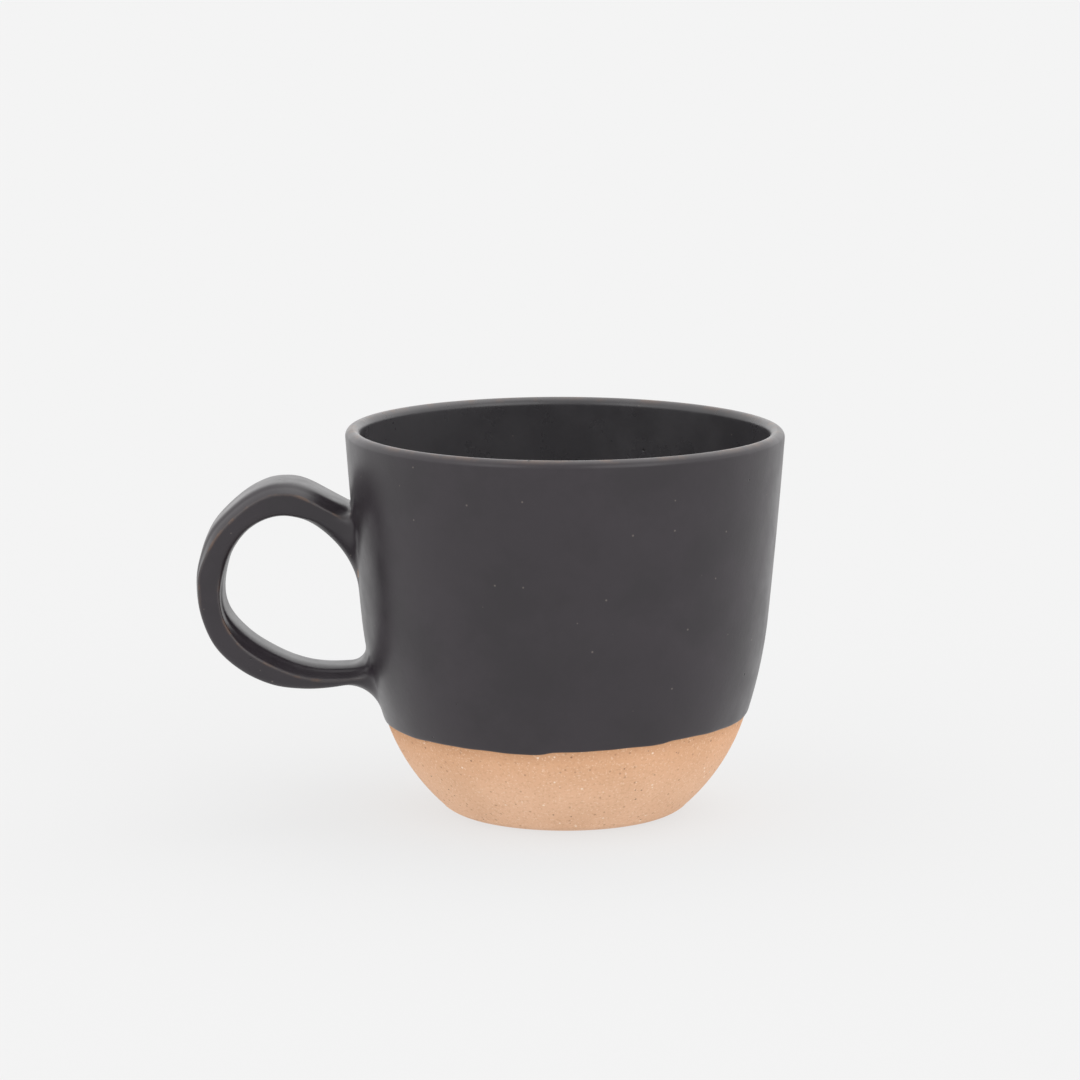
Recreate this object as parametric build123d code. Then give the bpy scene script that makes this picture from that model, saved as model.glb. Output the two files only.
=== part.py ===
"""Stoneware mug: thrown cup, pulled strap handle, slip joints and two glaze coats.

Millimetres. +Z is up, the foot ring stands on Z = 0 and Z is the axis of the cup.
The handle points along -X. Each node is one piece, placed where it sits in the mug.
"""

import math
import os

from build123d import *

# ---- overall sizes ------------------------------------------------------------
height = 89.0  # table to the crest of the lip, over the glaze
body_width = 100.4  # widest part of the cup, over the glaze, just below the lip
handle_reach = 33.8  # how far the clay strap stands out past the body
handle_span = 46.4  # top to bottom over the loop of the strap

# ---- clay and glaze thickness -------------------------------------------------
wall = 3.4  # clay wall at the belly
glaze = 0.4  # thickness of each fired glaze coat
floor_thickness = 5.0  # clay from the foot ring up to the inside floor

# ---- cup: radii are shares of the body, heights are shares of the height ------
body_radius = body_width / 2
mouth_radius = body_radius - glaze
belly_radius = 0.924 * body_radius
bowl_radius = 0.824 * body_radius
foot_radius = 0.518 * body_radius
belly_height = 0.517 * height
bowl_height = 0.247 * height
outer_lean = 4.0  # degrees the outside of the wall opens outward under the lip
inner_lean = 5.2  # degrees the inside opens, more than the outside, so the wall thins upward
lip_round = 1.3  # half the clay thickness at the lip
foot_edge_round = 1.4
recess_radius = 0.74 * foot_radius
recess_depth = 1.2
recess_slope = 1.5  # the recess is this much narrower at its top than at its mouth

# ---- strap handle -------------------------------------------------------------
strap_thickness = 5.6
strap_top_width = 18.6  # across the strap at the top of the loop
strap_bottom_width = 13.8  # across the strap at the bottom of the loop
edge_round = 0.34 * strap_thickness  # along all four edges of the strap
arm_length = 14.0  # straight run of each arm into the cup before it is trimmed
loop_middle = 0.588 * height

# ---- joints -------------------------------------------------------------------
slip_gap = 0.5  # slip left between the end of the strap and the cup
upper_bead = 2.4  # radius of the clay smoothed round the upper joint
lower_bead = 4.2  # radius of the clay smoothed round the lower joint

# ---- dip line -----------------------------------------------------------------
dip_height = 0.249 * height  # height of the lower edge of the outer coat at the axis
dip_tilt = 1.5  # degrees; the mug hung slightly askew in the glaze bucket

clear = 3 * body_width  # larger than anything in the mug, for cutting zones
touching = 0.001  # closer than this counts as on the surface

# The clay lip is a full round, so its crest is one lip_round inside the mouth.
crest_radius = mouth_radius - lip_round
crest_height = height - glaze
crest = Vector(crest_radius, crest_height)


def smooth_arcs(start, heading, stops):
    """Arcs from start through each stop, each leaving in the direction the last arrived."""
    arcs = []
    here = start
    for stop in stops:
        arc = TangentArc(here, stop, tangent=heading)
        arcs.append(arc)
        here = stop
        heading = arc % 1
    return arcs


def shifted_arcs(arcs, amount):
    """The same run of arcs moved to its left by amount, still smooth."""
    ends = [arcs[0] @ 0] + [arc @ 1 for arc in arcs]
    headings = [arcs[0] % 0] + [arc % 1 for arc in arcs]
    moved = [end + way.rotate(Axis.Z, 90) * amount for end, way in zip(ends, headings)]
    return smooth_arcs(moved[0], headings[0], moved[1:])


def round_lip_end(side, lean):
    """Point where the round of the lip runs into the wall on that side, +1 out or -1 in."""
    tilt = math.radians(lean)
    middle = crest - Vector(0, lip_round)
    return middle + Vector(side * math.cos(tilt), -side * math.sin(tilt)) * lip_round


def floor_landing(arc):
    """Point where a curve carried on from the arc meets the inside floor flat."""
    start = arc @ 1
    heading = arc % 1
    turn = math.atan2(-heading.Y, -heading.X)
    return Vector(start.X - (start.Y - floor_thickness) / math.tan(turn / 2), floor_thickness)


def outer_arcs():
    """Outside of the clay cup, from the crest of the lip down to the foot."""
    stops = [
        round_lip_end(+1, outer_lean),
        Vector(belly_radius, belly_height),
        Vector(bowl_radius, bowl_height),
        Vector(foot_radius, 0),
    ]
    return smooth_arcs(crest, Vector(1, 0), stops)


def inner_arcs():
    """Inside of the clay cup, from the crest of the lip down to the flat of the floor."""
    stops = [
        round_lip_end(-1, inner_lean),
        Vector(belly_radius - wall, belly_height),
        Vector(bowl_radius - wall, bowl_height + wall / 3),
    ]
    arcs = smooth_arcs(crest, Vector(-1, 0), stops)
    return smooth_arcs(crest, Vector(-1, 0), stops + [floor_landing(arcs[-1])])


def plug_section(grow=0):
    """Half section of the cup as if it were solid, with its outside moved out by grow."""
    arcs = shifted_arcs(outer_arcs(), grow)
    rim = arcs[0] @ 0
    foot = arcs[-1] @ 1
    return make_face(arcs + [Polyline(foot, (0, foot.Y), (0, rim.Y), rim)])


def cup_section():
    """Half section of the clay cup, with the edge of its foot rounded."""
    outside = outer_arcs()[1:]
    inside = inner_arcs()[1:]
    lip = ThreePointArc(outside[0] @ 0, crest, inside[0] @ 0)
    base = Polyline((foot_radius, 0), (0, 0), (0, floor_thickness), inside[-1] @ 1)
    section = make_face(outside + inside + [lip, base])
    foot_edge = section.vertices().sort_by_distance((foot_radius, 0))[0]
    return fillet(foot_edge, foot_edge_round)


def liner_section():
    """Half section of the glaze coat inside the cup, from the floor to the crest of the lip."""
    clay_side = inner_arcs()
    open_side = shifted_arcs(clay_side, -glaze)
    floor = Polyline(clay_side[-1] @ 1, (0, floor_thickness), (0, floor_thickness + glaze))
    skin = Line((0, floor_thickness + glaze), open_side[-1] @ 1)
    rim = Line(clay_side[0] @ 0, open_side[0] @ 0)
    return make_face(clay_side + open_side + [floor, skin, rim])


def spin(section):
    """Solid of revolution of a half section about the axis of the cup."""
    return revolve(Plane.XZ * section, Axis.Z)


def foot_recess():
    """Shallow hollow trimmed under the foot, which leaves the foot ring."""
    return Cone(
        recess_radius,
        recess_radius - recess_slope,
        recess_depth,
        align=(Align.CENTER, Align.CENTER, Align.MIN),
    )


def spot(out, up):
    """Point beside the body: so far out past its widest part, so far above the loop's middle."""
    return (-body_radius - out, loop_middle + up)


def run_on(arc):
    """Straight line that carries an arm on into the cup."""
    end = arc @ 1
    return Line(end, end + (arc % 1) * arm_length)


def strap_outline():
    """Side outline of the strap: an outer and an inner curve, joined inside the cup."""
    half = handle_span / 2
    low_arm = -0.965 * half
    outer_start = spot(handle_reach, 0)
    inner_reach = handle_reach - strap_thickness
    inner_start = spot(inner_reach, 0)
    outer_top = smooth_arcs(
        outer_start,
        (0, 1),
        [spot(handle_reach - 0.73 * half, 0.98 * half), spot(0.22 * handle_reach, 0.94 * half)],
    )
    outer_bottom = smooth_arcs(
        outer_start,
        (0, -1),
        [spot(handle_reach - 1.03 * half, -half), spot(-0.03 * handle_reach, low_arm)],
    )
    inner_top = smooth_arcs(
        inner_start,
        (0, 1),
        [
            spot(0.922 * inner_reach, 0.38 * half),
            spot(-0.02 * handle_reach, 0.58 * half - strap_thickness),
        ],
    )
    inner_bottom = smooth_arcs(
        inner_start,
        (0, -1),
        [
            spot(0.886 * inner_reach, -0.40 * half),
            spot(-0.03 * handle_reach, low_arm + 0.78 * strap_thickness),
        ],
    )
    chains = [outer_top, outer_bottom, inner_top, inner_bottom]
    runs = [run_on(chain[-1]) for chain in chains]
    ends = [
        Line(runs[0] @ 1, runs[2] @ 1),
        Line(runs[1] @ 1, runs[3] @ 1),
    ]
    edges = runs + ends
    for chain in chains:
        edges += chain
    return make_face(edges)


def strap_front(grow):
    """Outline of the strap from the front: it narrows evenly from the top down."""
    middle_width = (strap_top_width + strap_bottom_width) / 2 + 2 * grow
    spread = strap_top_width - strap_bottom_width
    top = (middle_width + 2 * spread) / 2
    bottom = (middle_width - 2 * spread) / 2
    low = loop_middle - 2 * handle_span
    high = loop_middle + 2 * handle_span
    return Polygon((-bottom, low), (bottom, low), (top, high), (-top, high), align=None)


def sharp_offset(outline, amount):
    """The outline moved outward by amount, with its corners kept sharp."""
    return offset(outline, amount, kind=Kind.INTERSECTION) if amount else outline


def strap(grow=0):
    """Strap with its arms run on into the cup, all its faces moved outward by grow."""
    side = sharp_offset(strap_outline(), grow)
    blank = extrude(Plane.XZ * side, strap_top_width, both=True)
    blank &= extrude(Plane.YZ * strap_front(grow), -clear)
    sides = blank.faces().sort_by(Axis.Y)
    cut_ends = blank.faces().filter_by(lambda face: face.normal_at().X > 0.9)
    long_edges = sides[0].edges() + sides[-1].edges() - cut_ends.edges()
    return fillet(long_edges, edge_round + grow)


def joint_edges(union, plug, upper):
    """Edges where the strap meets the cup, at the upper or the lower joint."""
    edges = union.edges().filter_by(GeomType.BSPLINE)
    on_cup = edges.filter_by(lambda edge: plug.distance_to(Vertex(*(edge @ 0.5))) < touching)
    return on_cup.filter_by(lambda edge: ((edge @ 0.5).Z > loop_middle) == upper)


def cup_with_strap(plug, bare_strap, grow=0):
    """Cup without its hollow and strap in one, with the clay smoothed round each joint."""
    body = plug + bare_strap
    body = fillet(joint_edges(body, plug, True), upper_bead - grow)
    return fillet(joint_edges(body, plug, False), lower_bead - grow)


def dip_zone():
    """Space above the dip line, where the outer coat is kept."""
    level = Plane((0, 0, dip_height)).rotated((0, -dip_tilt, 0))
    return level * Box(clear, clear, clear, align=(Align.CENTER, Align.CENTER, Align.MIN))


def mouth_zone():
    """Space over the mouth inside the crest of the lip, left to the liner coat."""
    return Pos(0, 0, crest_height - glaze) * Cylinder(
        crest_radius, lip_round, align=(Align.CENTER, Align.CENTER, Align.MIN)
    )


def build_pieces():
    """Every piece of the mug, by node name."""
    plug = spin(plug_section())
    slip_limit = spin(plug_section(slip_gap))
    bare_strap = strap()
    lower_slip, upper_slip = ((bare_strap & slip_limit) - plug).solids().sort_by(Axis.Z)
    strap_piece = cup_with_strap(plug, bare_strap) - slip_limit
    clay = plug + upper_slip + lower_slip + strap_piece
    glazed = cup_with_strap(spin(plug_section(glaze)), strap(glaze), glaze)
    return {
        "cup_body": spin(cup_section()) - foot_recess(),
        "handle_strap": strap_piece,
        "upper_slip_joint": upper_slip,
        "lower_slip_joint": lower_slip,
        "outer_glaze_coat": (glazed - clay - mouth_zone()) & dip_zone(),
        "liner_glaze_coat": spin(liner_section()),
    }


os.makedirs("parts", exist_ok=True)
for name, piece in build_pieces().items():
    export_step(piece, f"parts/{name}.step")
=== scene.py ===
import math

import bmesh
import bpy
import numpy as np
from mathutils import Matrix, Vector


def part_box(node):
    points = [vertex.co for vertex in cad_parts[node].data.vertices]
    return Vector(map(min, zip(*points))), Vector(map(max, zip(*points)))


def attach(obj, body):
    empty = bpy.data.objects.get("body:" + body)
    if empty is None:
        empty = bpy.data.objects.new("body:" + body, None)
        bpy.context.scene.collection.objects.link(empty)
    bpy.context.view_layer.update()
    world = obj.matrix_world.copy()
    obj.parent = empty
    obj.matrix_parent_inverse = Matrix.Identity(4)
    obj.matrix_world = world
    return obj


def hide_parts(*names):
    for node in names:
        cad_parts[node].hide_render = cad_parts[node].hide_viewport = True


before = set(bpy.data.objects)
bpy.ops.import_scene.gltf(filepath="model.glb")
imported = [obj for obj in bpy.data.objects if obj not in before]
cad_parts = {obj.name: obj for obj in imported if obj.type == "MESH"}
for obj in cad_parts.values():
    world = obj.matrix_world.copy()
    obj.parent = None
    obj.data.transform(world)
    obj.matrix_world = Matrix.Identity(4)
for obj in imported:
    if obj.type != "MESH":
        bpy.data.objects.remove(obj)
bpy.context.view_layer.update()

# Lengths are millimetres until a mesh is made. The mug stands on Z = 0 and its handle points along -X.
MM = 0.001

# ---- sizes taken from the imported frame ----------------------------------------
coat_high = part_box("outer_glaze_coat")[1]
cup_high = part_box("cup_body")[1]
strap_low, strap_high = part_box("handle_strap")
height = coat_high.z / MM
body_radius = cup_high.y / MM
glaze = coat_high.y / MM - body_radius
loop_middle = (strap_low.z + strap_high.z) / 2 / MM

# ---- cup: the same shares as the clay solid -----------------------------------
wall = 3.4
floor_thickness = 5.0
glazed_radius = body_radius + glaze
belly_radius = 0.924 * glazed_radius
bowl_radius = 0.824 * glazed_radius
foot_radius = 0.518 * glazed_radius
belly_height = 0.517 * height
bowl_height = 0.247 * height
outer_lean = 4.0
inner_lean = 5.2
lip_round = 1.3
foot_edge_round = 1.4
recess_radius = 0.74 * foot_radius
recess_depth = 1.2
recess_slope = 1.5
crest_radius = body_radius - lip_round
crest_height = height - glaze

# ---- mesh density ---------------------------------------------------------------
columns = 440  # round the glazed wall
clay_columns = 360  # round the clay cup
arc_steps = 60  # in each arc of the cup's outline
outline_steps = 120  # in each side outline of the strap
across = 48  # cells across the strap
along = 28  # cells over the thickness of the strap
ring = 2 * (across + along)
patch_rows = 24  # from the strap's last free ring to the hole in the wall
strap_rows = 130  # along the free loop of the strap
arm_rows = 30  # along each arm, from the free loop into the cup
lip_rows = 12  # over the outer half of the lip
thin_rows = 9  # of those, how many have thin glaze with a painted highlight
between_holes = 10  # rows of wall between the two joints


def unit(vector):
    """The vector at length 1."""
    return vector / np.linalg.norm(vector)


def arc(start, heading, stop, steps=arc_steps):
    """Points of the arc that leaves start along heading and ends at stop, and its last heading."""
    start, heading, stop = (np.array(v, float) for v in (start, heading, stop))
    heading = unit(heading)
    chord = stop - start
    half_turn = math.atan2(heading[0] * chord[1] - heading[1] * chord[0], heading @ chord)
    left = np.array([-heading[1], heading[0]])
    radius = np.linalg.norm(chord) / (2 * math.sin(half_turn))
    middle = start + left * radius
    turn = np.linspace(0, 2 * half_turn, steps + 1)[:, None]
    points = middle - radius * left * np.cos(turn) + radius * heading * np.sin(turn)
    last = heading * math.cos(2 * half_turn) + left * math.sin(2 * half_turn)
    return points, last


def smooth_arcs(start, heading, stops):
    """Points of a smooth run of arcs from start through each stop."""
    runs = []
    for stop in stops:
        points, heading = arc(start, heading, stop)
        runs.append(points[:-1])
        start = stop
    runs.append([stops[-1]])
    return np.vstack(runs)


def lip_end(side, lean):
    """Where the round of the clay lip runs into the wall on that side."""
    tilt = math.radians(lean)
    return (
        crest_radius + side * lip_round * math.cos(tilt),
        crest_height - lip_round - lip_round * math.sin(tilt),
    )


outer_clay = smooth_arcs(
    (crest_radius, crest_height),
    (1, 0),
    [lip_end(1, outer_lean), (belly_radius, belly_height), (bowl_radius, bowl_height), (foot_radius, 0)],
)
inner_clay = smooth_arcs(
    (crest_radius, crest_height),
    (-1, 0),
    [
        lip_end(-1, inner_lean),
        (belly_radius - wall, belly_height),
        (bowl_radius - wall, bowl_height + wall / 3),
        (0.50 * bowl_radius, floor_thickness),
    ],
)


def offset_line(line, amount):
    """The line moved to its left by amount."""
    way = np.gradient(line, axis=0)
    way /= np.linalg.norm(way, axis=1)[:, None]
    return line + amount * np.column_stack([-way[:, 1], way[:, 0]])


outer_skin = offset_line(outer_clay, glaze)
outer_skin[0] = (crest_radius, height)
inner_skin = offset_line(inner_clay, -glaze)
inner_skin[0] = (crest_radius, height)


def radius_at(line, z):
    """Radius of a wall line at a height."""
    order = np.argsort(line[:, 1], kind="stable")
    return np.interp(z, line[order, 1], line[order, 0])


wall_clay = outer_clay[arc_steps:]
wall_skin = outer_skin[arc_steps:]


def resample(line, count):
    """The line as count + 1 points at equal steps of length."""
    step = np.linalg.norm(np.diff(line, axis=0), axis=1)
    length = np.concatenate([[0], np.cumsum(step)])
    at = np.linspace(0, length[-1], count + 1)
    return np.column_stack([np.interp(at, length, line[:, i]) for i in range(line.shape[1])])


def ease(t):
    """Rises smoothly from 0 at t = 0 to 1 at t = 1, and is flat beyond both."""
    t = np.clip(t, 0, 1)
    return t * t * (3 - 2 * t)


# ---- hand-made waver ---------------------------------------------------------------
theta = -math.pi + np.arange(columns) * 2 * math.pi / columns


def bump(angle, middle, spread):
    """1 at the middle angle, falling away on both sides of it, in degrees."""
    away = (np.degrees(angle) - middle + 180) % 360 - 180
    return np.exp(-((away / spread) ** 2))


def kink(angle, middle, reach):
    """A small step in the dip line, fading out on both sides, in degrees."""
    away = (np.degrees(angle) - middle + 180) % 360 - 180
    return np.tanh(away / 1.5) * np.exp(-((away / reach) ** 2))


def dip_line(angle):
    """Height of the lower edge of the outer coat round the mug."""
    line = 22.4 + 0.95 * np.cos(angle) - 0.75 * bump(angle, -105, 40)
    line += 0.2 * kink(angle, -96, 15) + 0.15 * kink(angle, -57, 10)
    for waves, size, turn in ((5, 0.10, 0.4), (9, 0.07, 2.1), (17, 0.05, 4.0), (31, 0.03, 1.2)):
        line += size * np.sin(waves * angle + turn)
    return line


def rim_drop(angle):
    """How far the lip lies below its highest point, at the back beside the handle."""
    return 0.42 * (1 - bump(angle, 125, 70)) + 0.05 * np.sin(3 * angle + 1) - 0.05


def waver(points):
    """The thrown cup's slight unevenness, growing towards the lip."""
    angle = np.arctan2(points[:, 1], points[:, 0])
    share = ease((points[:, 2] - 0.6 * height) / (0.4 * height))
    moved = points.copy()
    moved[:, 2] -= share * np.maximum(rim_drop(angle), 0)
    return moved


# ---- handle: side outlines of the glazed strap ---------------------------------------
# Each point is (out past the glazed body, up from the loop's middle), from the upper joint
# round the loop to the lower one.
outer_line = [
    (-6.0, 16.2), (2.0, 20.4), (8.9, 24.0), (13.5, 24.9), (18.5, 24.1), (24.3, 20.7), (30.5, 14.3),
    (33.3, 7.1), (34.1, 1.0), (33.2, -6.2), (30.0, -13.5), (24.2, -19.0), (17.1, -22.4), (10.0, -23.4),
    (3.5, -23.1), (-4.0, -21.8), (-12.0, -20.2),
]
inner_line = [
    (-8.0, 11.6), (2.0, 14.2), (9.0, 16.2), (14.4, 17.0), (19.3, 15.6), (23.4, 12.3), (26.5, 7.0),
    (28.0, -0.4), (26.9, -5.8), (22.6, -10.7), (17.0, -14.4), (10.8, -17.1), (4.5, -18.2), (-4.0, -17.9),
    (-12.0, -17.2),
]


def smooth_line(points, steps=14):
    """A smooth curve through the points, each piece a cubic that follows its neighbours."""
    p = np.array([(-glazed_radius - out, loop_middle + up) for out, up in points])
    t = np.linspace(0, 1, steps, endpoint=False)[:, None]
    runs = []
    for a, b, c, d in zip(p[:-3], p[1:-2], p[2:-1], p[3:]):
        square = (2 * a - 5 * b + 4 * c - d) * t**2
        cube = (3 * b - a - 3 * c + d) * t**3
        runs.append(0.5 * (2 * b + (c - a) * t + square + cube))
    first = p[:1] + (p[1:2] - p[:1]) * t
    last = p[-2:-1] + (p[-1:] - p[-2:-1]) * t
    return resample(np.vstack([first] + runs + [last, p[-1:]]), outline_steps)


outer_curve = smooth_line(outer_line)
inner_curve = smooth_line(inner_line)


def side_of(points, line, block_size=20000):
    """Signed distance of points in the XZ plane from an open line, positive to its left."""
    a = line[:-1]
    d = np.diff(line, axis=0)
    best = np.full(len(points), np.inf)
    sign = np.ones(len(points))
    for start in range(0, len(points), block_size):
        block = slice(start, start + block_size)
        p = points[block]
        rel = p[:, None, :] - a[None]
        along_line = np.clip((rel * d[None]).sum(2) / (d * d).sum(1)[None], 0, 1)
        gap = rel - along_line[..., None] * d[None]
        size = (gap * gap).sum(2)
        near = size.argmin(1)
        rows = np.arange(len(p))
        best[block] = np.sqrt(size[rows, near])
        cross = d[near, 0] * rel[rows, near, 1] - d[near, 1] * rel[rows, near, 0]
        sign[block] = np.where(cross >= 0, 1, -1)
    return best * sign


def round_max(a, b, radius):
    """Both solids at once, with the edge between their faces rounded to radius."""
    corner = np.sqrt(np.maximum(a + radius, 0) ** 2 + np.maximum(b + radius, 0) ** 2)
    return np.minimum(np.maximum(a, b), -radius) + corner


def round_min(a, b, radius):
    """Either solid, with the inner corner between them filled to radius."""
    return -round_max(-a, -b, radius)


def strap_half_width(up):
    """Half the width of the glazed strap at a height above the loop's middle."""
    return (17.0 + 0.1034 * up) / 2


def strap_faces(p):
    """Distances out of the strap's outer face, its inner face and its sides."""
    flat = p[:, [0, 2]]
    over = -side_of(flat, outer_curve)
    under = side_of(flat, inner_curve)
    beside = np.abs(p[:, 1]) - strap_half_width(p[:, 2] - loop_middle)
    return over, under, beside


def crowned(face, drop, half, reach, power):
    """The face of the strap, falling away by drop towards its sides."""
    slope = power * drop / half * reach ** (power - 1)
    return (face + drop * reach**power) / np.sqrt(1 + slope**2)


def wiped(away):
    """A fine ridge where a face meets the side, with a shallow groove beside it."""
    return 0.34 * np.exp(-((away / 0.60) ** 2)) - 0.24 * np.exp(-(((away - 1.7) / 0.8) ** 2))


def strap_body(over, under, beside, up):
    """Below zero inside the glazed strap: crowned faces, upper edges wiped back to a crisp ridge."""
    half = strap_half_width(up)
    reach = np.clip((beside + half) / half, 0, 1.15)
    above = ease((up + 8) / 16)
    drop_over = 0.9 + 1.8 * ease((up - 2) / 14)
    drop_under = 0.9 + 2.4 * ease((-up - 2) / 14)
    below_over = np.maximum(-over - drop_over, 0)
    below_under = np.maximum(-under - drop_under, 0)
    side = beside + 0.12 * (above * below_over + (1 - above) * below_under)
    top = crowned(over, drop_over, half, reach, 6)
    bottom = crowned(under, drop_under, half, reach, 4)
    outside = round_max(top, side, 1.1 - 0.75 * above) - above * wiped(top - side)
    inside = round_max(bottom, side, 0.35 + 0.75 * above) - (1 - above) * wiped(bottom - side)
    return np.maximum(outside, inside)


def strap_field(p):
    """Below zero inside the glazed strap."""
    return strap_body(*strap_faces(p), p[:, 2] - loop_middle)


def cup_field(p):
    """Below zero inside the glazed cup, taken as solid."""
    r = np.hypot(p[:, 0], p[:, 1])
    z = p[:, 2]
    here = radius_at(wall_skin, z)
    slope = radius_at(wall_skin, z + 0.5) - radius_at(wall_skin, z - 0.5)
    return (r - here) / np.sqrt(1 + slope**2)


def joint_round(over, under, beside, up):
    """Radius of the smoothed clay round the joints: large under the upper one, small above it."""
    upper = ease((up + 10) / 10)
    round_outer = 7.5 - 6.3 * upper
    round_inner = 4.3 + 8.7 * upper
    round_side = 4.0 + 0.5 * upper
    through = ease(-over / np.maximum(-over - under, 0.5))
    through = np.where(over > 0, 0, np.where(under > 0, 1, through))
    flat = round_outer + (round_inner - round_outer) * through
    sideways = ease((beside + 3.5) / 6)
    return flat + (round_side - flat) * sideways


def glazed_field(p):
    """Below zero inside the glazed mug, taken as solid."""
    faces = strap_faces(p)
    up = p[:, 2] - loop_middle
    return round_min(cup_field(p), strap_body(*faces, up), joint_round(*faces, up))


def settle(points, times=6):
    """The points moved onto the glazed surface."""
    p = points.copy()
    h = 0.02
    for _ in range(times):
        value = glazed_field(p)
        slope = np.zeros_like(p)
        for axis in range(3):
            step = np.zeros(3)
            step[axis] = h
            slope[:, axis] = (glazed_field(p + step) - glazed_field(p - step)) / (2 * h)
        size = np.maximum((slope**2).sum(1), 0.2)
        p -= np.clip(value / size, -2, 2)[:, None] * slope
    return p


# ---- outer coat: the wall as a grid of rows and columns -----------------------------
edge_run = 0.5  # the coat thins to nothing over this length at the dip line
edge_shares = np.array([0.0, 0.04, 0.15, 0.35, 0.65, 1.0])
rows_to_hole = 2
wall_stops = [  # top of each band of rows, and how many rows it has
    (24.0, rows_to_hole),
    (40.8, along),
    (49.2, between_holes),
    (74.8, along),
    (crest_height - lip_round, 16),
]
wall_heights = [22.9]
for top, rows in wall_stops:
    wall_heights += list(np.linspace(wall_heights[-1], top, rows + 1)[1:])
lower_hole_row = len(edge_shares) + rows_to_hole
upper_hole_row = lower_hole_row + along + between_holes
lower_hole = (lower_hole_row, lower_hole_row + along)
upper_hole = (upper_hole_row, upper_hole_row + along)
half_hole = across // 2


def wall_grid():
    """Rows of the outer coat from the dip line to the crest of the lip."""
    dip = dip_line(theta)
    rows = []
    thick = []
    for share in edge_shares:
        z = dip + share * edge_run * 0.93
        depth = glaze * math.sqrt(1 - (1 - share) ** 2)
        r = radius_at(wall_clay, z) + depth
        rows.append((r, z))
        thick.append(max(depth, 0.0))
    start = wall_heights[0]
    for z_row in wall_heights:
        fade = 1 - ease((z_row - start) / 14)
        z = z_row + (dip + edge_run * 2 - start) * fade
        rows.append((radius_at(wall_skin, z), z))
        thick.append(glaze)
    lip = resample(outer_skin[: arc_steps + 1], lip_rows)[::-1][1:]
    for r, z in lip:
        rows.append((np.full(columns, r), np.full(columns, z)))
        thick.append(glaze)
    grid = np.array([[r * np.cos(theta), r * np.sin(theta), z] for r, z in rows]).transpose(0, 2, 1)
    return grid, np.array(thick)


def hole_loop(rows, upper):
    """(row, column) of each point round a hole in the wall, in the order of the strap's ring."""
    low, high = rows
    first, last = (high, low) if upper else (low, high)
    down = -1 if upper else 1
    loop = [(first, half_hole - k) for k in range(across)]
    loop += [(first + down * k, -half_hole) for k in range(along)]
    loop += [(last, -half_hole + k) for k in range(across)]
    loop += [(last - down * k, half_hole) for k in range(along)]
    return loop


def centre_line():
    """Middle of the strap: the free loop, and the ends of its upper and lower arms."""
    outer = resample(outer_curve, 300)
    gap = np.linalg.norm(outer[:, None] - inner_curve[None], axis=2)
    middle = (outer + inner_curve[gap.argmin(1)]) / 2
    kernel = np.hanning(31)
    kernel /= kernel.sum()
    padded = np.vstack([np.repeat(middle[:1], 15, 0), middle, np.repeat(middle[-1:], 15, 0)])
    middle = np.column_stack([np.convolve(padded[:, i], kernel, "valid") for i in range(2)])
    out = -middle[:, 0] - glazed_radius
    top = middle[:, 1] > loop_middle
    loop = resample(middle[np.where(top, out >= 11.0, out >= 7.0)], strap_rows)
    upper = resample(np.vstack([middle[top & (out < 10.8)], loop[:1]]), arm_rows)
    lower = resample(np.vstack([loop[-1:], middle[~top & (out < 6.8)]]), arm_rows)
    return loop, upper, lower


def ring_rays(half_width, half_thick):
    """Start and end of the ray for each point of a ring, as (across, over) in its section."""
    a = np.linspace(-1, 1, across + 1)[:-1] * half_width
    b = np.linspace(1, -1, along + 1)[:-1] * half_thick
    ends = [(x, half_thick) for x in a] + [(half_width, y) for y in b]
    ends += [(-x, -half_thick) for x in a] + [(-half_width, -y) for y in b]
    ends = np.array(ends)
    core = half_width - half_thick
    starts = np.column_stack([np.clip(ends[:, 0], -core, core), np.zeros(ring)])
    return starts, ends


def strap_rings(middle):
    """Rings of the strap's surface, square to its middle line."""
    way = np.gradient(middle, axis=0)
    way /= np.linalg.norm(way, axis=1)[:, None]
    over = np.column_stack([way[:, 1], -way[:, 0]])
    starts, ends = [], []
    for point, out in zip(middle, over):
        a, b = ring_rays(strap_half_width(point[1] - loop_middle), 3.4)
        for flat, bucket in ((a, starts), (b, ends)):
            x = point[0] + out[0] * flat[:, 1]
            z = point[1] + out[1] * flat[:, 1]
            bucket.append(np.column_stack([x, flat[:, 0], z]))
    starts, ends = np.vstack(starts), np.vstack(ends)
    low = np.zeros(len(starts))
    high = np.full(len(starts), 1.6)
    for _ in range(13):
        t = (low + high) / 2
        inside = strap_field(starts + t[:, None] * (ends - starts)) < 0
        low = np.where(inside, t, low)
        high = np.where(inside, high, t)
    t = (low + high) / 2
    return (starts + t[:, None] * (ends - starts)).reshape(-1, ring, 3)


def on_wall(points):
    """The points moved straight out or in onto the glazed wall."""
    share = radius_at(wall_skin, points[:, 2]) / np.hypot(points[:, 0], points[:, 1])
    return points * np.column_stack([share, share, np.ones(len(points))])


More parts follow.
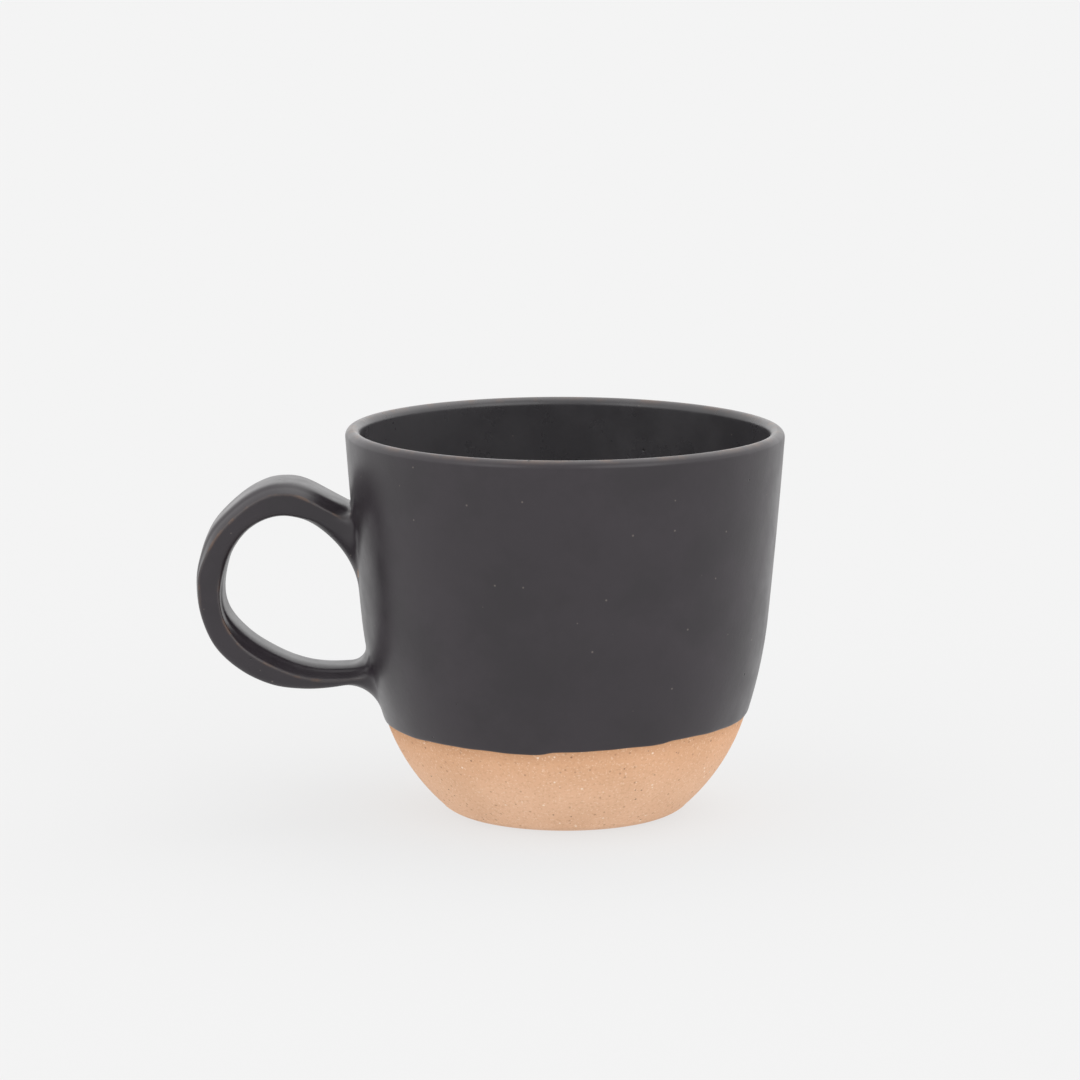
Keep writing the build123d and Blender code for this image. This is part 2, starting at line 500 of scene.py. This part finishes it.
def patch_grid(rings, loop_points):
    """Rows from the strap's last free ring to the hole in the wall, on the glazed surface."""
    depth = cup_field(rings.reshape(-1, 3)).reshape(rings.shape[:2])
    rows = np.zeros((patch_rows + 1, ring, 3))
    share = np.linspace(0, 1, 9)[:, None]
    for k in range(ring):
        hit = int(np.argmax(depth[:, k] < 0))
        t = depth[hit - 1, k] / (depth[hit - 1, k] - depth[hit, k])
        foot = rings[hit - 1, k] + t * (rings[hit, k] - rings[hit - 1, k])
        wall_path = on_wall(foot + (loop_points[k] - foot) * share)
        rows[:, k] = resample(np.vstack([rings[:hit, k], wall_path]), patch_rows)
    rows[0], rows[-1] = rings[0], loop_points
    rows[1:-1] = settle(rows[1:-1].reshape(-1, 3), 8).reshape(patch_rows - 1, ring, 3)
    for _ in range(5):
        beside_mean = (np.roll(rows, 1, 1) + np.roll(rows, -1, 1))[1:-1] / 2
        rows[1:-1] = 0.35 * (rows[:-2] + rows[2:]) + 0.3 * beside_mean
        rows[1:-1] = settle(rows[1:-1].reshape(-1, 3), 2).reshape(patch_rows - 1, ring, 3)
    return rows


class Build:
    """Vertices and faces of one mesh."""

    def __init__(self):
        self.points = []
        self.faces = []
        self.count = 0

    def add(self, points):
        """Adds an array of points and gives back their numbers in the same layout."""
        points = np.asarray(points, float)
        numbers = np.arange(self.count, self.count + points[..., 0].size).reshape(points.shape[:-1])
        self.points.append(points.reshape(-1, 3))
        self.count += numbers.size
        return numbers

    def band(self, a, b):
        """Faces between two rows of the same length."""
        for k in range(len(a)):
            n = (k + 1) % len(a)
            self.faces.append((a[k], a[n], b[n], b[k]))

    def taper(self, fine, coarse):
        """Faces between a row and one of half its length."""
        for k in range(len(coarse)):
            n = (k + 1) % len(coarse)
            f0, f1, f2 = fine[2 * k], fine[2 * k + 1], fine[(2 * k + 2) % len(fine)]
            self.faces += [(f0, f1, coarse[k]), (f1, coarse[n], coarse[k]), (f1, f2, coarse[n])]

    def fan(self, row, middle):
        """Faces between a row and one point in its middle."""
        for k in range(len(row)):
            self.faces.append((row[k], row[(k + 1) % len(row)], middle))


def make_object(name, build, values=None, sharp=None):
    """A closed, smooth-shaded Blender mesh of the build."""
    points = np.vstack(build.points)
    used = sorted({v for face in build.faces for v in face})
    renumber = {old: new for new, old in enumerate(used)}
    faces = [tuple(int(renumber[v]) for v in face) for face in build.faces]
    mesh = bpy.data.meshes.new(name)
    mesh.from_pydata((points[used] * MM).tolist(), [], faces)
    obj = bpy.data.objects.new(name, mesh)
    bpy.context.scene.collection.objects.link(obj)
    bm = bmesh.new()
    bm.from_mesh(mesh)
    bmesh.ops.recalc_face_normals(bm, faces=bm.faces)
    if sharp is not None:
        ring_set = {renumber[int(v)] for v in sharp}
        for edge in bm.edges:
            if edge.verts[0].index in ring_set and edge.verts[1].index in ring_set:
                edge.smooth = False
    for face in bm.faces:
        face.smooth = True
    bm.to_mesh(mesh)
    bm.free()
    if values is not None:
        attribute = mesh.attributes.new("glaze_edge_and_painted_highlight", "FLOAT", "POINT")
        attribute.data.foreach_set("value", values[used].astype(np.float32))
    return obj


def grid_normals(rows):
    """Unit normals of a grid of points that closes round each row."""
    over = np.gradient(rows, axis=0)
    padded = np.concatenate([rows[:, -1:], rows, rows[:, :1]], axis=1)
    round_row = (padded[:, 2:] - padded[:, :-2]) / 2
    normal = np.cross(over, round_row)
    size = np.linalg.norm(normal, axis=2, keepdims=True)
    return normal / np.maximum(size, 1e-9)


def joined_faces(build, wall_rows, upper, strap, lower, step):
    """Faces of the wall with its two holes, the two joint patches and the strap."""
    rows, cols = wall_rows.shape
    for i in range(rows - 1):
        wall_row = i * step
        for j in range(cols):
            column = j * step
            offset = column if column < columns / 2 else column - columns
            in_columns = -half_hole <= offset < half_hole
            in_rows = any(first <= wall_row < last for first, last in (lower_hole, upper_hole))
            if in_columns and in_rows:
                continue
            n = (j + 1) % cols
            low, high = wall_rows[i], wall_rows[i + 1]
            build.faces.append((low[j], low[n], high[n], high[j]))
    for grid in (upper, strap, lower):
        for a, b in zip(grid[:-1], grid[1:]):
            build.band(a, b)


def build_outer_coat():
    """The dipped coat as one closed skin, and the clay face under the strap for the strap itself."""
    wall_points, thick = wall_grid()
    loop_line, upper_line, lower_line = centre_line()
    strap_points = strap_rings(loop_line)
    upper_rings = strap_rings(upper_line)[::-1]
    lower_rings = strap_rings(lower_line)
    upper_rings[0], lower_rings[0] = strap_points[0], strap_points[-1]
    loops = {}
    for name, rows, upper in (("upper", upper_hole, True), ("lower", lower_hole, False)):
        loop = hole_loop(rows, upper)
        loops[name] = (np.array([i for i, _ in loop]), np.array([j % columns for _, j in loop]))
    upper_points = patch_grid(upper_rings, wall_points[loops["upper"]])
    lower_points = patch_grid(lower_rings, wall_points[loops["lower"]])
    inner_wall = wall_points - grid_normals(wall_points) * thick[:, None, None] * outward(wall_points)
    strap_all = np.concatenate([upper_points[::-1], strap_points[1:-1], lower_points])
    normals = grid_normals(strap_all)
    middle = strap_all.mean(1, keepdims=True)
    facing = np.sign((normals[60:90] * (strap_all - middle)[60:90]).sum())
    inner_strap = strap_all - normals * facing * glaze
    return wall_points, thick, strap_all, inner_wall, inner_strap, loops


def outward(points):
    """1 or -1 so that grid normals of the wall point away from the axis."""
    normal = grid_normals(points)
    return np.sign((normal * points * (1, 1, 0)).sum())


def coat_object(parts):
    """Closed mesh of the outer coat."""
    wall_points, thick, strap_all, inner_wall, inner_strap, loops = parts
    build = Build()
    wall_outer = build.add(waver(wall_points.reshape(-1, 3)).reshape(wall_points.shape))
    strap_numbers = build.add(waver(strap_all.reshape(-1, 3)).reshape(strap_all.shape))
    strap_numbers[0] = wall_outer[loops["upper"]]
    strap_numbers[-1] = wall_outer[loops["lower"]]
    joined_faces(build, wall_outer, strap_numbers[:2], strap_numbers[1:-1], strap_numbers[-2:], 1)
    coarse_wall = inner_wall[::2, ::2]
    inner_numbers = build.add(waver(coarse_wall.reshape(-1, 3)).reshape(coarse_wall.shape))
    coarse_strap = inner_strap[::2, ::2]
    strap_inner = build.add(waver(coarse_strap.reshape(-1, 3)).reshape(coarse_strap.shape))
    strap_inner[0] = inner_numbers[loops["upper"][0][::2] // 2, loops["upper"][1][::2] // 2]
    strap_inner[-1] = inner_numbers[loops["lower"][0][::2] // 2, loops["lower"][1][::2] // 2]
    joined_faces(build, inner_numbers, strap_inner[:2], strap_inner[1:-1], strap_inner[-2:], 2)
    build.taper(wall_outer[0], inner_numbers[0])
    build.taper(wall_outer[-1], inner_numbers[-1])
    # On the lip and the strap's ridges: thin glaze, turned brown and also lightened as a painted
    # highlight
    values = np.zeros(build.count)
    for below_crest, row in enumerate(wall_outer[: -lip_rows - 2 : -1]):
        values[row] = ease(1 - below_crest / thin_rows)
    ridge_share = ridge_values(strap_all)
    values[strap_numbers[1:-1].ravel()] = ridge_share[1:-1].ravel()
    return make_object("outer_coat", build, values, wall_outer[-1])


def ridge_values(strap_all):
    """1 on the ridge along the strap's sides, where the glaze runs thin and a highlight is painted."""
    normals = grid_normals(strap_all)
    bend = np.linalg.norm(np.roll(normals, 1, 1) - np.roll(normals, -1, 1), axis=2)
    gap = np.linalg.norm(np.roll(strap_all, 1, 1) - np.roll(strap_all, -1, 1), axis=2)
    curve = bend / np.maximum(gap, 0.05)
    return ease((curve - 0.45) / 0.8)


def liner_object():
    """Closed mesh of the coat inside the cup."""
    build = Build()
    lip = resample(inner_skin[: arc_steps + 1], 10)
    side = resample(inner_skin[arc_steps:], 90)[1:]
    line = np.vstack([lip, side])
    floor = np.array([(r, floor_thickness + glaze) for r in (0.8, 0.5, 0.2)]) * (line[-1, 0], 1)
    line = np.vstack([line, floor])
    back_lip = resample(inner_clay[: arc_steps + 1], 6)
    back = np.vstack([back_lip, resample(inner_clay[arc_steps:], 44)[1:]])
    open_side = build.add(turned(line, theta))
    clay_side = build.add(turned(back, theta[::2]))
    for a, b in zip(open_side[:-1], open_side[1:]):
        build.band(a, b)
    for a, b in zip(clay_side[:-1], clay_side[1:]):
        build.band(a, b)
    build.taper(open_side[0], clay_side[0])
    top_middle = build.add([(0, 0, floor_thickness + glaze)])[0]
    low_middle = build.add([(0, 0, floor_thickness)])[0]
    build.fan(open_side[-1], top_middle)
    build.fan(clay_side[-1], low_middle)
    values = np.zeros(build.count)
    # The liner's lip: thin glaze, lightened in the glaze material as a painted highlight
    for i in range(10):
        values[open_side[i]] = ease((8 - i) / 8)
    build.points = [waver(np.vstack(build.points))]
    return make_object("liner_coat", build, values, open_side[0])


def turned(line, angles):
    """Rows of a surface of revolution, one for each point of the line."""
    r, z = line[:, 0, None], line[:, 1, None]
    return np.stack([r * np.cos(angles), r * np.sin(angles), z + 0 * angles], axis=2)


def cup_object():
    """Closed mesh of the clay cup, with its foot ring and the trimmed recess under it."""
    build = Build()
    angles = -math.pi + np.arange(clay_columns) * 2 * math.pi / clay_columns
    outside = outer_clay[arc_steps:]
    foot = outside[-1]
    heading = unit(outside[-1] - outside[-2])
    cut = foot_edge_round * math.tan((math.pi / 2 - math.asin(heading[0])) / 2 * 0.9)
    edge_start = foot - heading * cut
    edge_end = np.array([foot[0] - cut, 0])
    turn = np.linspace(0, 1, 9)[:, None]
    edge = (1 - turn) ** 2 * edge_start + 2 * turn * (1 - turn) * foot + turn**2 * edge_end
    side = outside[outside[:, 1] > edge_start[1] + 0.2]
    under = [
        (recess_radius + 2.5, 0.0),
        (recess_radius + 0.5, 0.0),
        (recess_radius + 0.1, 0.06),
        (recess_radius - 0.2, 0.25),
        (recess_radius - recess_slope + 0.3, recess_depth - 0.25),
        (recess_radius - recess_slope - 0.1, recess_depth - 0.05),
        (recess_radius - recess_slope - 0.6, recess_depth),
        (0.7 * recess_radius, recess_depth),
        (0.4 * recess_radius, recess_depth),
        (0.15 * recess_radius, recess_depth),
    ]
    line = np.vstack(
        [
            [(1.5, floor_thickness), (0.25 * bowl_radius, floor_thickness)],
            resample(inner_clay, 60)[::-1],
            resample(outer_clay[: arc_steps + 1], 8)[1:],
            resample(side, 100)[1:],
            edge,
            under,
        ]
    )
    rows = build.add(turned(line, angles))
    for a, b in zip(rows[:-1], rows[1:]):
        build.band(a, b)
    inside_middle = build.add([(0, 0, floor_thickness)])[0]
    under_middle = build.add([(0, 0, recess_depth)])[0]
    build.fan(rows[0], inside_middle)
    build.fan(rows[-1], under_middle)
    points = waver(np.vstack(build.points))
    build.points = [points]
    below = dip_line(np.arctan2(points[:, 1], points[:, 0])) - points[:, 2]
    return make_object("clay_cup", build, ease(1 - below / 3.5))


def strap_object(parts):
    """Closed mesh of the clay strap, ending a slip layer short of the cup."""
    inner_strap = parts[4]
    flat = inner_strap.reshape(-1, 3)
    gap = np.hypot(flat[:, 0], flat[:, 1]) - radius_at(wall_clay, flat[:, 2])
    gap = gap.reshape(inner_strap.shape[:2]).min(1)
    keep = np.where(gap > 0.55)[0]
    body = inner_strap[keep[0] : keep[-1] + 1 : 1][:, ::2]
    build = Build()
    numbers = build.add(body)
    for a, b in zip(numbers[:-1], numbers[1:]):
        build.band(a, b)
    for end in (0, -1):
        edge = body[end]
        middle = edge.mean(0)
        previous = numbers[end]
        for share in (0.75, 0.5, 0.25):
            row = build.add(off_cup(middle + (edge - middle) * share, edge, share))
            build.band(previous, row)
            previous = row
        centre = build.add(off_cup(middle[None], edge, 0))[0]
        build.fan(previous, centre)
    return make_object("clay_strap", build)


def off_cup(points, edge, share):
    """Points of the strap's end face, standing a slip layer off the cup."""
    r = np.hypot(points[:, 0], points[:, 1])
    near = radius_at(wall_clay, points[:, 2]) + 0.5
    wanted = near + (r - near) * share**2
    return np.column_stack([points[:, 0] * wanted / r, points[:, 1] * wanted / r, points[:, 2]])


# ---- materials ----------------------------------------------------------------------
class Nodes:
    """Short helper for building one material."""

    def __init__(self, name):
        self.material = bpy.data.materials.new(name)
        self.material.use_nodes = True
        self.tree = self.material.node_tree
        self.shader = self.tree.nodes["Principled BSDF"]
        self.place = self.tree.nodes.new("ShaderNodeTexCoord").outputs["Object"]

    def link(self, a, b):
        """Joins an output to an input."""
        self.tree.links.new(a, b)

    def noise(self, scale, detail=4.0, rough=0.55):
        """Cloudy noise, with scale in lumps per metre."""
        node = self.tree.nodes.new("ShaderNodeTexNoise")
        node.inputs["Scale"].default_value = scale
        node.inputs["Detail"].default_value = detail
        node.inputs["Roughness"].default_value = rough
        self.link(self.place, node.inputs["Vector"])
        return node.outputs["Fac"]

    def some(self, scale, rarity, inner, outer):
        """Round spots in a few of the cells of a scattered grid."""
        cells = self.tree.nodes.new("ShaderNodeTexVoronoi")
        cells.inputs["Scale"].default_value = scale
        self.link(self.place, cells.inputs["Vector"])
        pick = self.tree.nodes.new("ShaderNodeSeparateColor")
        self.link(cells.outputs["Color"], pick.inputs[0])
        chosen = self.maths("GREATER_THAN", pick.outputs[0], rarity)
        spot = self.range(cells.outputs["Distance"], inner, outer, 1, 0)
        return self.maths("MULTIPLY", spot, chosen)

    def range(self, value, low, high, to_low=0.0, to_high=1.0):
        """The value taken smoothly from low..high to to_low..to_high."""
        node = self.tree.nodes.new("ShaderNodeMapRange")
        node.interpolation_type = "SMOOTHSTEP"
        node.inputs["From Min"].default_value = low
        node.inputs["From Max"].default_value = high
        node.inputs["To Min"].default_value = to_low
        node.inputs["To Max"].default_value = to_high
        self.link(value, node.inputs["Value"])
        return node.outputs["Result"]

    def maths(self, kind, a, b):
        """Arithmetic on two values, each a number or a socket."""
        node = self.tree.nodes.new("ShaderNodeMath")
        node.operation = kind
        for value, socket in ((a, node.inputs[0]), (b, node.inputs[1])):
            if isinstance(value, (int, float)):
                socket.default_value = value
            else:
                self.link(value, socket)
        return node.outputs[0]

    def mix(self, share, a, b):
        """Colour a, with a share of it replaced by colour b."""
        node = self.tree.nodes.new("ShaderNodeMix")
        node.data_type = "RGBA"
        for value, socket in ((share, node.inputs[0]), (a, node.inputs[6]), (b, node.inputs[7])):
            if isinstance(value, tuple):
                socket.default_value = (*value, 1)
            elif isinstance(value, (int, float)):
                socket.default_value = value
            else:
                self.link(value, socket)
        return node.outputs[2]

    def attribute(self, name):
        """A value stored on the mesh, zero where the mesh has none."""
        node = self.tree.nodes.new("ShaderNodeAttribute")
        node.attribute_name = name
        return node.outputs["Fac"]

    def split(self):
        """The place on the object as separate X, Y and Z."""
        node = self.tree.nodes.new("ShaderNodeSeparateXYZ")
        self.link(self.place, node.inputs[0])
        return node.outputs

    def bump(self, height_value, distance, strength):
        """Normals of a surface raised by height_value times distance, in metres."""
        node = self.tree.nodes.new("ShaderNodeBump")
        node.inputs["Distance"].default_value = distance
        node.inputs["Strength"].default_value = strength
        self.link(height_value, node.inputs["Height"])
        return node.outputs["Normal"]


def glaze_material(name, dark, light, rough):
    """Satin black glaze: cloudy, with pinholes, light specks and brown where it runs thin; the thin
    edges are also lightened as a painted highlight, and the pinholes are painted near black as painted
    shade.
    """
    m = Nodes(name)
    cloud = m.noise(55, 5, 0.6)
    base = m.mix(m.range(cloud, 0.35, 0.68), dark, light)
    greenish = m.range(m.noise(28, 3), 0.45, 0.7)
    base = m.mix(m.maths("MULTIPLY", greenish, 0.4), base, tuple(0.9 * c for c in dark))
    base = m.mix(m.maths("MULTIPLY", m.some(330, 0.78, 0.05, 0.10), 0.75), base, (0.13, 0.11, 0.10))
    thin = m.maths("MULTIPLY", m.attribute("glaze_edge_and_painted_highlight"), m.range(m.noise(170, 4, 0.7), 0.48, 0.62))
    # Thin glaze on the lip and ridges lightened to grey: partly the glaze's own colour, partly a painted
    # highlight
    base = m.mix(m.maths("MULTIPLY", m.attribute("glaze_edge_and_painted_highlight"), 0.55), base, (0.062, 0.052, 0.052))
    base = m.mix(m.maths("MULTIPLY", thin, 0.6), base, (0.105, 0.058, 0.036))
    # Pinholes painted near black: painted shade inside the pits, which the bump below also sinks
    hole = m.some(140, 0.45, 0.025, 0.055)
    base = m.mix(m.maths("MULTIPLY", hole, 0.85), base, (0.004, 0.0035, 0.003))
    m.link(base, m.shader.inputs["Base Color"])
    uneven = m.range(m.noise(130, 5, 0.6), 0.3, 0.7, rough - 0.04, rough + 0.04)
    m.link(uneven, m.shader.inputs["Roughness"])
    level = m.maths("MULTIPLY", m.noise(1100, 3, 0.6), 0.22)
    level = m.maths("ADD", level, m.maths("MULTIPLY", m.noise(260, 4), 0.30))
    level = m.maths("ADD", level, m.maths("MULTIPLY", m.noise(45, 2), 1.6))
    level = m.maths("SUBTRACT", level, m.maths("MULTIPLY", hole, 4.0))
    m.link(m.bump(level, 0.00012, 0.6), m.shader.inputs["Normal"])
    return m.material


def clay_material(name):
    """Buff stoneware: sandy, toasted near the glaze, with dark and pale grog."""
    m = Nodes(name)
    z = m.split()["Z"]
    toast = m.range(z, 0.008, 0.0215)
    patch = m.noise(60, 4, 0.6)
    base = m.mix(toast, (0.76, 0.475, 0.310), (0.69, 0.395, 0.235))
    # Here the attribute marks the clay just under the glaze edge, toasted darker: the clay's own colour,
    # no painted light
    base = m.mix(m.maths("MULTIPLY", m.attribute("glaze_edge_and_painted_highlight"), 0.45), base, (0.46, 0.24, 0.12))
    base = m.mix(m.maths("MULTIPLY", m.range(patch, 0.35, 0.7), 0.16), base, (0.44, 0.24, 0.12))
    sand = m.noise(1500, 3, 0.7)
    base = m.mix(m.maths("MULTIPLY", m.range(sand, 0.50, 0.68), 0.35), base, (0.48, 0.25, 0.13))
    pale_sand = m.noise(1900, 2, 0.6)
    base = m.mix(m.maths("MULTIPLY", m.range(pale_sand, 0.56, 0.70), 0.35), base, (0.92, 0.74, 0.56))
    grain = m.some(900, 0.86, 0.16, 0.34)
    base = m.mix(m.maths("MULTIPLY", grain, 0.5), base, (0.33, 0.17, 0.09))
    base = m.mix(m.maths("MULTIPLY", m.some(760, 0.94, 0.12, 0.24), 0.65), base, (0.16, 0.08, 0.045))
    base = m.mix(m.maths("MULTIPLY", m.some(820, 0.94, 0.14, 0.28), 0.6), base, (0.93, 0.82, 0.68))
    m.link(base, m.shader.inputs["Base Color"])
    m.link(m.range(patch, 0.3, 0.7, 0.78, 0.9), m.shader.inputs["Roughness"])
    m.shader.inputs["Specular IOR Level"].default_value = 0.25
    lumps = m.maths("MULTIPLY", m.noise(420, 4, 0.6), 0.6)
    level = m.maths("ADD", m.maths("MULTIPLY", sand, 0.8), lumps)
    level = m.maths("SUBTRACT", level, m.maths("MULTIPLY", grain, 0.5))
    m.link(m.bump(level, 0.0001, 0.7), m.shader.inputs["Normal"])
    return m.material


# ---- pieces -------------------------------------------------------------------------
coat_parts = build_outer_coat()
outer_coat = coat_object(coat_parts)
liner_coat = liner_object()
clay_cup = cup_object()
clay_strap = strap_object(coat_parts)
outer_dark = (0.0180, 0.0142, 0.0178)
outer_light = (0.0262, 0.0205, 0.0258)
outer_rough = 0.33
# Painted light: the liner is the same black glaze as the outer coat, painted about twice as light to
# stand in for the light inside the cup; its neutral grey tone is its own
liner_dark_painted_lighter = (0.0380, 0.0360, 0.0390)
liner_light_painted_lighter = (0.0560, 0.0535, 0.0570)
liner_rough = 0.30
outer_glaze = glaze_material("outer_glaze_satin_black", outer_dark, outer_light, outer_rough)
liner_glaze = glaze_material("liner_glaze_painted_lighter", liner_dark_painted_lighter, liner_light_painted_lighter, liner_rough)
outer_coat.data.materials.append(outer_glaze)
liner_coat.data.materials.append(liner_glaze)
clay_cup.data.materials.append(clay_material("bare_stoneware"))
clay_strap.data.materials.append(clay_material("strap_stoneware"))
for piece, node, slot in (
    (outer_coat, "outer_glaze_coat", "outer_glaze"),
    (liner_coat, "liner_glaze_coat", "liner_glaze"),
    (clay_cup, "cup_body", "bare_clay"),
    (clay_strap, "handle_strap", "strap_clay"),
):
    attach(piece, "root")
    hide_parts(node)
slip = clay_material("slip_stoneware")
for node in ("upper_slip_joint", "lower_slip_joint"):
    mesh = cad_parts[node].data
    mesh.materials.clear()
    mesh.materials.append(slip)

# ---- stage --------------------------------------------------------------------------
edge = 12.0  # metres from the mug to the floor's edges, so that the floor fills the picture
corners = [(-edge, -edge, 0), (edge, -edge, 0), (edge, edge, 0), (-edge, edge, 0)]
floor_mesh = bpy.data.meshes.new("floor")
floor_mesh.from_pydata(corners, [], [(0, 1, 2, 3)])
floor = bpy.data.objects.new("floor", floor_mesh)
bpy.context.scene.collection.objects.link(floor)
paper = bpy.data.materials.new("pale_paper")
paper.use_nodes = True
paper_shader = paper.node_tree.nodes["Principled BSDF"]
paper_shader.inputs["Base Color"].default_value = (0.14, 0.14, 0.14, 1)
paper_shader.inputs["Roughness"].default_value = 0.9
paper_shader.inputs["Specular IOR Level"].default_value = 0.0
paper_shader.inputs["Emission Color"].default_value = (1, 1, 1, 1)
paper_shader.inputs["Emission Strength"].default_value = 0.680
floor_mesh.materials.append(paper)

world = bpy.data.worlds.new("studio")
bpy.context.scene.world = world
world.use_nodes = True
wall_level = 1.4  # brightness of the white walls all round
light_patches = [  # way to the patch's middle, degrees to its full and its faded edge, brighter by
    ((0, -0.94, 0.34), 25, 60, -0.6),
    ((0, -0.1, 1.0), 15, 50, 0.2),
    ((0.1, 1.0, 0.35), 20, 55, -0.1),
    ((0.55, -0.82, 0.40), 6, 30, 1.6),
    ((-0.60, -0.78, 0.40), 6, 26, 1.2),
]


def studio_light(tree):
    """White walls all round, dimmer where the camera stands, with a soft panel on each side of it."""
    new = tree.nodes.new
    place = new("ShaderNodeTexCoord").outputs["Generated"]
    total = None
    for way, near, far, level in light_patches:
        base = wall_level if total is None else 0.0
        toward = new("ShaderNodeVectorMath")
        toward.operation = "DOT_PRODUCT"
        toward.inputs[1].default_value = Vector(way).normalized()
        fade = new("ShaderNodeMapRange")
        fade.interpolation_type = "SMOOTHSTEP"
        fade.inputs["From Min"].default_value = math.cos(math.radians(far))
        fade.inputs["From Max"].default_value = math.cos(math.radians(near))
        fade.inputs["To Min"].default_value = base
        fade.inputs["To Max"].default_value = base + level
        tree.links.new(place, toward.inputs[0])
        tree.links.new(toward.outputs["Value"], fade.inputs["Value"])
        if total is None:
            total = fade.outputs["Result"]
        else:
            add = new("ShaderNodeMath")
            tree.links.new(total, add.inputs[0])
            tree.links.new(fade.outputs["Result"], add.inputs[1])
            total = add.outputs[0]
    tree.links.new(total, tree.nodes["Background"].inputs["Strength"])
    tree.nodes["Background"].inputs["Color"].default_value = (1, 1, 1, 1)


studio_light(world.node_tree)

key_place = Vector((0.45, 0.35, 1.0))  # the soft key stands above, to the right and behind
key = bpy.data.lights.new("key", "SUN")
key.energy = 0.5
key.angle = math.radians(60)
key_obj = bpy.data.objects.new("key", key)
key_obj.rotation_euler = (-key_place).to_track_quat("-Z", "Y").to_euler()
bpy.context.scene.collection.objects.link(key_obj)

# ---- camera -------------------------------------------------------------------------
camera_tilt = 9.807  # degrees the camera looks down
camera_data = bpy.data.cameras.new("camera")
camera_data.lens = 153.28
camera_data.sensor_width = 36.0
camera = bpy.data.objects.new("camera", camera_data)
camera.location = (-0.005705, -1.039577, 0.242359)
camera.rotation_euler = (math.radians(90 - camera_tilt), 0, 0)
bpy.context.scene.collection.objects.link(camera)
bpy.context.scene.camera = camera
bpy.context.scene.view_settings.view_transform = "Standard"
